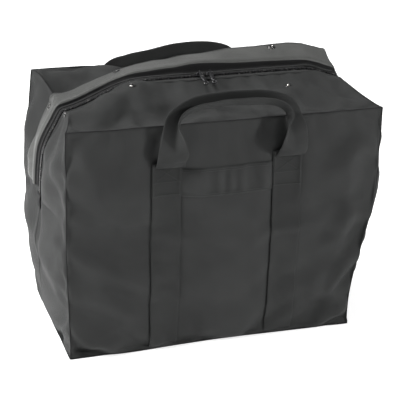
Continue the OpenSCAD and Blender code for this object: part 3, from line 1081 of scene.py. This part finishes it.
SNAP_R = 0.0062
PLAIN_SNAP_R = 0.0075   # the radius of the frame's plain snaps
SNAP_IN = 0.134
SNAP_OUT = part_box("front_snap_studs")[1][0] - PLAIN_SNAP_R
SNAP_Y = -sum(c[1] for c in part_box("front_snap_studs")) / 2
STUD = [(r * SNAP_R, h * SNAP_R) for r, h in (
    (0, 0.58), (0.30, 0.58), (0.42, 0.52), (0.47, 0.40), (0.43, 0.28), (0.36, 0.18),
    (0.62, 0.16), (0.86, 0.20), (0.98, 0.10), (1.0, -0.08), (0, -0.10))]
SOCKET = [(r * SNAP_R, h * SNAP_R) for r, h in (
    (0, 0.04), (0.36, 0.04), (0.44, 0.10), (0.46, 0.26), (0.56, 0.34), (0.74, 0.32),
    (0.94, 0.20), (1.06, 0.06), (1.06, -0.08), (0, -0.10))]


def stud_place(x):
    if abs(x) < 0.2:
        hit, normal = surface.ray_cast(Vector((x, -SNAP_Y, 1)), Vector((0, 0, -1)))[:2]
    else:
        side = 1 if x > 0 else -1
        start = Vector((x - side * 0.002, -SNAP_Y, 0.40)) + Vector((side * 0.5, 0, 0.5))
        hit, normal = surface.ray_cast(start, Vector((-side, 0, -1)))[:2]
    return hit, normal


def socket_place(x):
    spot = min(range(len(ZIP)), key=lambda i: abs(ZIP[i].x - x) + abs(ZIP[i].z - 0.44) * 0.4)
    share = spot / (len(ZIP) - 1)
    v = (share - FLAP_FIRST) / (FLAP_LAST - FLAP_FIRST)
    place = flap_place(FLAP_FIRST, FLAP_LAST)
    at, near, along = place(0.16, v), place(0.10, v), place(0.16, v + 0.004)
    normal = (along - at).cross(near - at).normalized()
    if normal.dot(zip_frame(share)[2]) < 0:
        normal = -normal
    return at, normal


SNAP_X = (-SNAP_OUT, -SNAP_IN, SNAP_IN, SNAP_OUT)
studs = turned("snap_studs", STUD, [stud_place(x) for x in SNAP_X], SNAP_METAL)
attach(studs, "front_half")
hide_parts("front_snap_studs")
sockets = turned("snap_sockets", SOCKET, [socket_place(x) for x in SNAP_X], SNAP_METAL)
turn_with_flap(sockets)
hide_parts("storm_flap_sockets")
print("four studs and four sockets")

# %% [markdown]
# ## Sliders and pulls
# A slider is two plates that hold the teeth between them, with a bridge bar on top. The
# pull's eye rides on that bar, and its flat end has a hole for a padlock. The plates are
# bevelled blocks that narrow at the nose, the bridge is a spun half ring, and the eye is
# a spun full ring.

# %% Sliders
SLIDER_X = HINGES["right_pull_swing"]["pos_m"][0]
BRIDGE_Z = HINGES["right_pull_swing"]["pos_m"][2]
TEETH_Z = BRIDGE_Z - 0.0069   # the middle of the teeth under the bridge


def bevelled_block(mesh, low, high, bevel):
    made = bmesh.ops.create_cube(mesh, size=1)["verts"]
    size, middle = Vector(high) - Vector(low), (Vector(high) + Vector(low)) / 2
    bmesh.ops.scale(mesh, vec=size, verts=made)
    bmesh.ops.translate(mesh, vec=middle, verts=made)
    edges = list({e for v in made for e in v.link_edges})
    done = bmesh.ops.bevel(mesh, geom=edges, offset=bevel, offset_type="OFFSET", segments=2,
                           profile=0.5, affect="EDGES", material=-1)
    return list({v for f in done["faces"] for v in f.verts} | {v for v in made if v.is_valid})


def ring(mesh, middle, radius, tube, angle, stretch=(1, 1, 1), turn=None):
    """Part of a ring in the X-Z plane, made by spinning a small circle about Y."""
    circle = bmesh.ops.create_circle(mesh, segments=10, radius=tube)["verts"]
    shift = Matrix.Translation((radius, 0, 0))
    bmesh.ops.transform(mesh, verts=circle, matrix=shift)
    edges = list({e for v in circle for e in v.link_edges})
    before = set(mesh.verts)
    whole = angle > 6
    bmesh.ops.spin(mesh, geom=circle + edges, cent=(0, 0, 0), axis=(0, -1, 0), angle=angle,
                   steps=28 if whole else 14, use_merge=whole)
    made = list((set(mesh.verts) - before) | {v for v in circle if v.is_valid})
    bmesh.ops.scale(mesh, vec=stretch, verts=made)
    if turn:
        bmesh.ops.transform(mesh, verts=made, matrix=turn)
    bmesh.ops.translate(mesh, vec=middle, verts=made)
    return made


def make_slider(label, x, nose):
    mesh = bmesh.new()
    for low, high in ((0.0021, 0.0034), (-0.0034, -0.0021)):
        plate = bevelled_block(mesh, (-0.007, -0.0060, low), (0.007, 0.0060, high), 0.0005)
        for vert in plate:
            along = smooth(-0.001, 0.007, vert.co.x * nose)
            vert.co.y *= 1 - 0.42 * along
            vert.co.x += -nose * 0.0008 * (abs(vert.co.y) / 0.006) ** 2 * (1 - along)
    for side in (-1, 1):
        bevelled_block(mesh, (-0.0064, side * 0.0054 - 0.0005, 0.0012),
                       (0.0020, side * 0.0054 + 0.0005, 0.0024), 0.0003)
    bevelled_block(mesh, (min(0.002 * nose, 0.006 * nose), -0.0008, -0.0024),
                   (max(0.002 * nose, 0.006 * nose), 0.0008, 0.0024), 0.0003)
    ring(mesh, (0, 0, 0.0032), 0.0050, 0.0010, pi, (1, 1.15, 0.74))
    bmesh.ops.translate(mesh, vec=(x, 0, TEETH_Z), verts=mesh.verts)
    bmesh.ops.recalc_face_normals(mesh, faces=mesh.faces)
    slider = add_object(label + "_slider_body", mesh, BLACK_METAL)
    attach(slider, label + "_slider")
    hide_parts(label + "_slider")


DROOP = radians(12)


def make_pull(label, x, skew):
    mesh = bmesh.new()
    ring(mesh, (0, 0, 0), 0.0023, 0.0009, 2 * pi, (1, 1, 1), Matrix.Rotation(pi / 2, 4, "Z"))
    bevelled_block(mesh, (-0.0017, -0.0085, -0.0009), (0.0017, -0.0022, 0.0009), 0.0004)
    shank = bevelled_block(mesh, (-0.0040, -0.0300, -0.0009), (0.0040, -0.0075, 0.0009), 0.0005)
    for vert in shank:
        vert.co.x *= 1 - 0.28 * smooth(-0.009, -0.026, vert.co.y)
    hole = Vector((0, -0.0343, 0))
    ring(mesh, hole, 0.0036, 0.0011, 2 * pi, (1, 0.9, 1), Matrix.Rotation(pi / 2, 4, "X"))
    matrix = Matrix.Translation((x, 0, BRIDGE_Z)) @ Matrix.Rotation(DROOP, 4, "X") \
        @ Matrix.Rotation(skew, 4, "Z")
    bmesh.ops.transform(mesh, verts=mesh.verts, matrix=matrix)
    bmesh.ops.recalc_face_normals(mesh, faces=mesh.faces)
    pull = add_object(label + "_pull_tab", mesh, BLACK_METAL)
    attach(pull, label + "_pull")
    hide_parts(label + "_pull")


for label, side, skew in (("left", -1, radians(4)), ("right", 1, radians(-3))):
    make_slider(label, side * SLIDER_X, -side)
    make_pull(label, side * SLIDER_X, skew)
print("two sliders and two pulls")

# %% [markdown]
# ## Seam shade cords and stitches
# A thin near-black cord runs in every sewn seam of the shell: painted shade for the dark
# crease along each seam. Rows of short stitches run along the straps, round each handle's
# anchors, along the bands, beside the zip and on the flap.

# %% Near-black cords in the seams, painted shade of the creases
def tube(mesh, points, radius):
    """A round cord along the points, closed at both ends."""
    made = bmesh.ops.create_grid(mesh, x_segments=6, y_segments=len(points) - 1, size=1)["verts"]
    for vert in made:
        turn = (vert.co.x + 1) * pi
        i = min(round((vert.co.y + 1) / 2 * (len(points) - 1)), len(points) - 1)
        way = (points[min(i + 1, len(points) - 1)] - points[max(i - 1, 0)]).normalized()
        side = way.cross(Vector((0.3, 0.2, 1)) if abs(way.z) < 0.9 else Vector((1, 0.2, 0)))
        side.normalize()
        vert.co = points[i] + (side * cos(turn) + way.cross(side) * sin(turn)) * radius
    bmesh.ops.remove_doubles(mesh, verts=made, dist=1e-6)


def seam_line(fixed, along):
    """The shell's points on an edge of the square box, in order along one axis."""
    line = [v for v in shell.verts
            if all(abs(square[v.index][i] - value) < 1e-5 for i, value in fixed.items())]
    line.sort(key=lambda v: square[v.index][along])
    return [v.co.copy() for v in line]


SHADE_CORD_R = 0.0012


def seam_shade_cord(name, lines, body):
    mesh = bmesh.new()
    for line in lines:
        tube(mesh, line, SHADE_CORD_R)
    edges = [e for e in mesh.edges if e.is_boundary]
    bmesh.ops.holes_fill(mesh, edges=edges, sides=0)
    bmesh.ops.recalc_face_normals(mesh, faces=mesh.faces)
    # The cord is near-black tape: painted shade for the dark crease of the seam.
    cord = add_object(name, mesh, TAPE_AND_PAINTED_SHADE)
    if body == "bag" or "top" in name:
        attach(cord, body)
    else:
        bend(cord)


for half, y in (("front", -HALF_D), ("back", HALF_D)):
    ends = [[p for p in seam_line({0: x, 2: SEAM_Z}, 1) if p.y * y > 0 and abs(p.y) > SLOT]
            for x in (-HALF_W, HALF_W)]
    seam_shade_cord(f"top_{half}_welt", [seam_line({1: y, 2: SEAM_Z}, 0)] + ends, half + "_half")
    seam_shade_cord(f"{half}_corner_welts", [seam_line({0: x, 1: y}, 2) for x in (-HALF_W, HALF_W)],
         half + "_half")
seam_shade_cord("bottom_welt", [seam_line({1: y, 2: 0}, 0) for y in (-HALF_D, HALF_D)]
     + [seam_line({0: x, 2: 0}, 1) for x in (-HALF_W, HALF_W)], "bag")
print("five groups of seam_shade_cords")

# %% Rows of stitches
STITCH = 0.0030
STITCH_GAP = 0.0044


def stitches(lines, face, lift=0.0):
    """Blocks for the stitches along lines of points. face gives the outward side."""
    boxes = []
    for line in lines:
        for here, way in walk(line, STITCH_GAP):
            up = Vector(face) if face else surface.find_nearest(here)[1]
            across = up.cross(way).normalized()
            boxes.append((here + up * lift, way, across, way.cross(across).normalized(),
                          (STITCH / 2, 0.00035, 0.00030)))
    return boxes


def wall_row(start, end, lift, side, count=None):
    """Points on a wall on the line between two (x, z) places."""
    (x0, z0), (x1, z1) = start, end
    count = count or max(2, int(max(abs(x1 - x0), abs(z1 - z0)) / 0.006))
    return [on_front(x0 + (x1 - x0) * k / count, z0 + (z1 - z0) * k / count, lift, side)
            for k in range(count + 1)]


INSET = 0.003             # from an edge of webbing or cloth to its first row
CROSS_H = 0.030           # the height of the crossed square on each anchor
ON_ANCHOR = 3 * WEB_T + 0.0001
ON_BAND = 0.0026
for half, side in (("front", -1), ("back", 1)):
    rows = []
    for x in (-STRAP_X, STRAP_X):
        left, right = x - WEB_W / 2 + INSET, x + WEB_W / 2 - INSET
        low, high = ROOT_Z - ANCHOR + 0.004, ROOT_Z - 0.004
        edges = (left, right)
        rows += [wall_row((edge, 0.012), (edge, low), ON_SHELL, side) for edge in edges]
        rows += [wall_row((edge, low), (edge, high), ON_ANCHOR, side) for edge in edges]
        rows += [wall_row((left, z), (right, z), ON_ANCHOR, side)
                 for z in (low, high, high - CROSS_H)]
        rows += [wall_row((a, high - CROSS_H), (b, high), ON_ANCHOR, side, 8)
                 for a, b in ((left, right), (right, left))]
    reach = STRAP_X - WEB_W / 2 - 0.001
    rows += [wall_row((-reach, z), (reach, z), ON_BAND, side)
             for z in (BAND_Z0 + INSET, BAND_Z0 + 2 * INSET, BAND_Z1 - INSET, BAND_Z1 - 2 * INSET)]
    thread = join_boxes(half + "_stitches", stitches(rows, (0, side, 0), 0.0001), THREAD)
    bend(thread)
    off_zip = Vector((0, side * (SLOT + INSET), 0))
    beside = [surface.find_nearest(zip_frame(k / 200)[0] + off_zip)[0] for k in range(4, 197)]
    zip_row = join_boxes(half + "_zip_stitches", stitches([beside], None, 0.0004), THREAD)
    bend(zip_row)
edge_row = [flap_place(LEFT_CORNER, RIGHT_CORNER)(0.05, k / 120) for k in range(121)]
flap_row = join_boxes("flap_stitches", stitches([edge_row], (0, -0.3, 0.95), 0.0003), THREAD)
turn_with_flap(flap_row)
print("rows of stitches on both walls, beside the zip and on the flap")
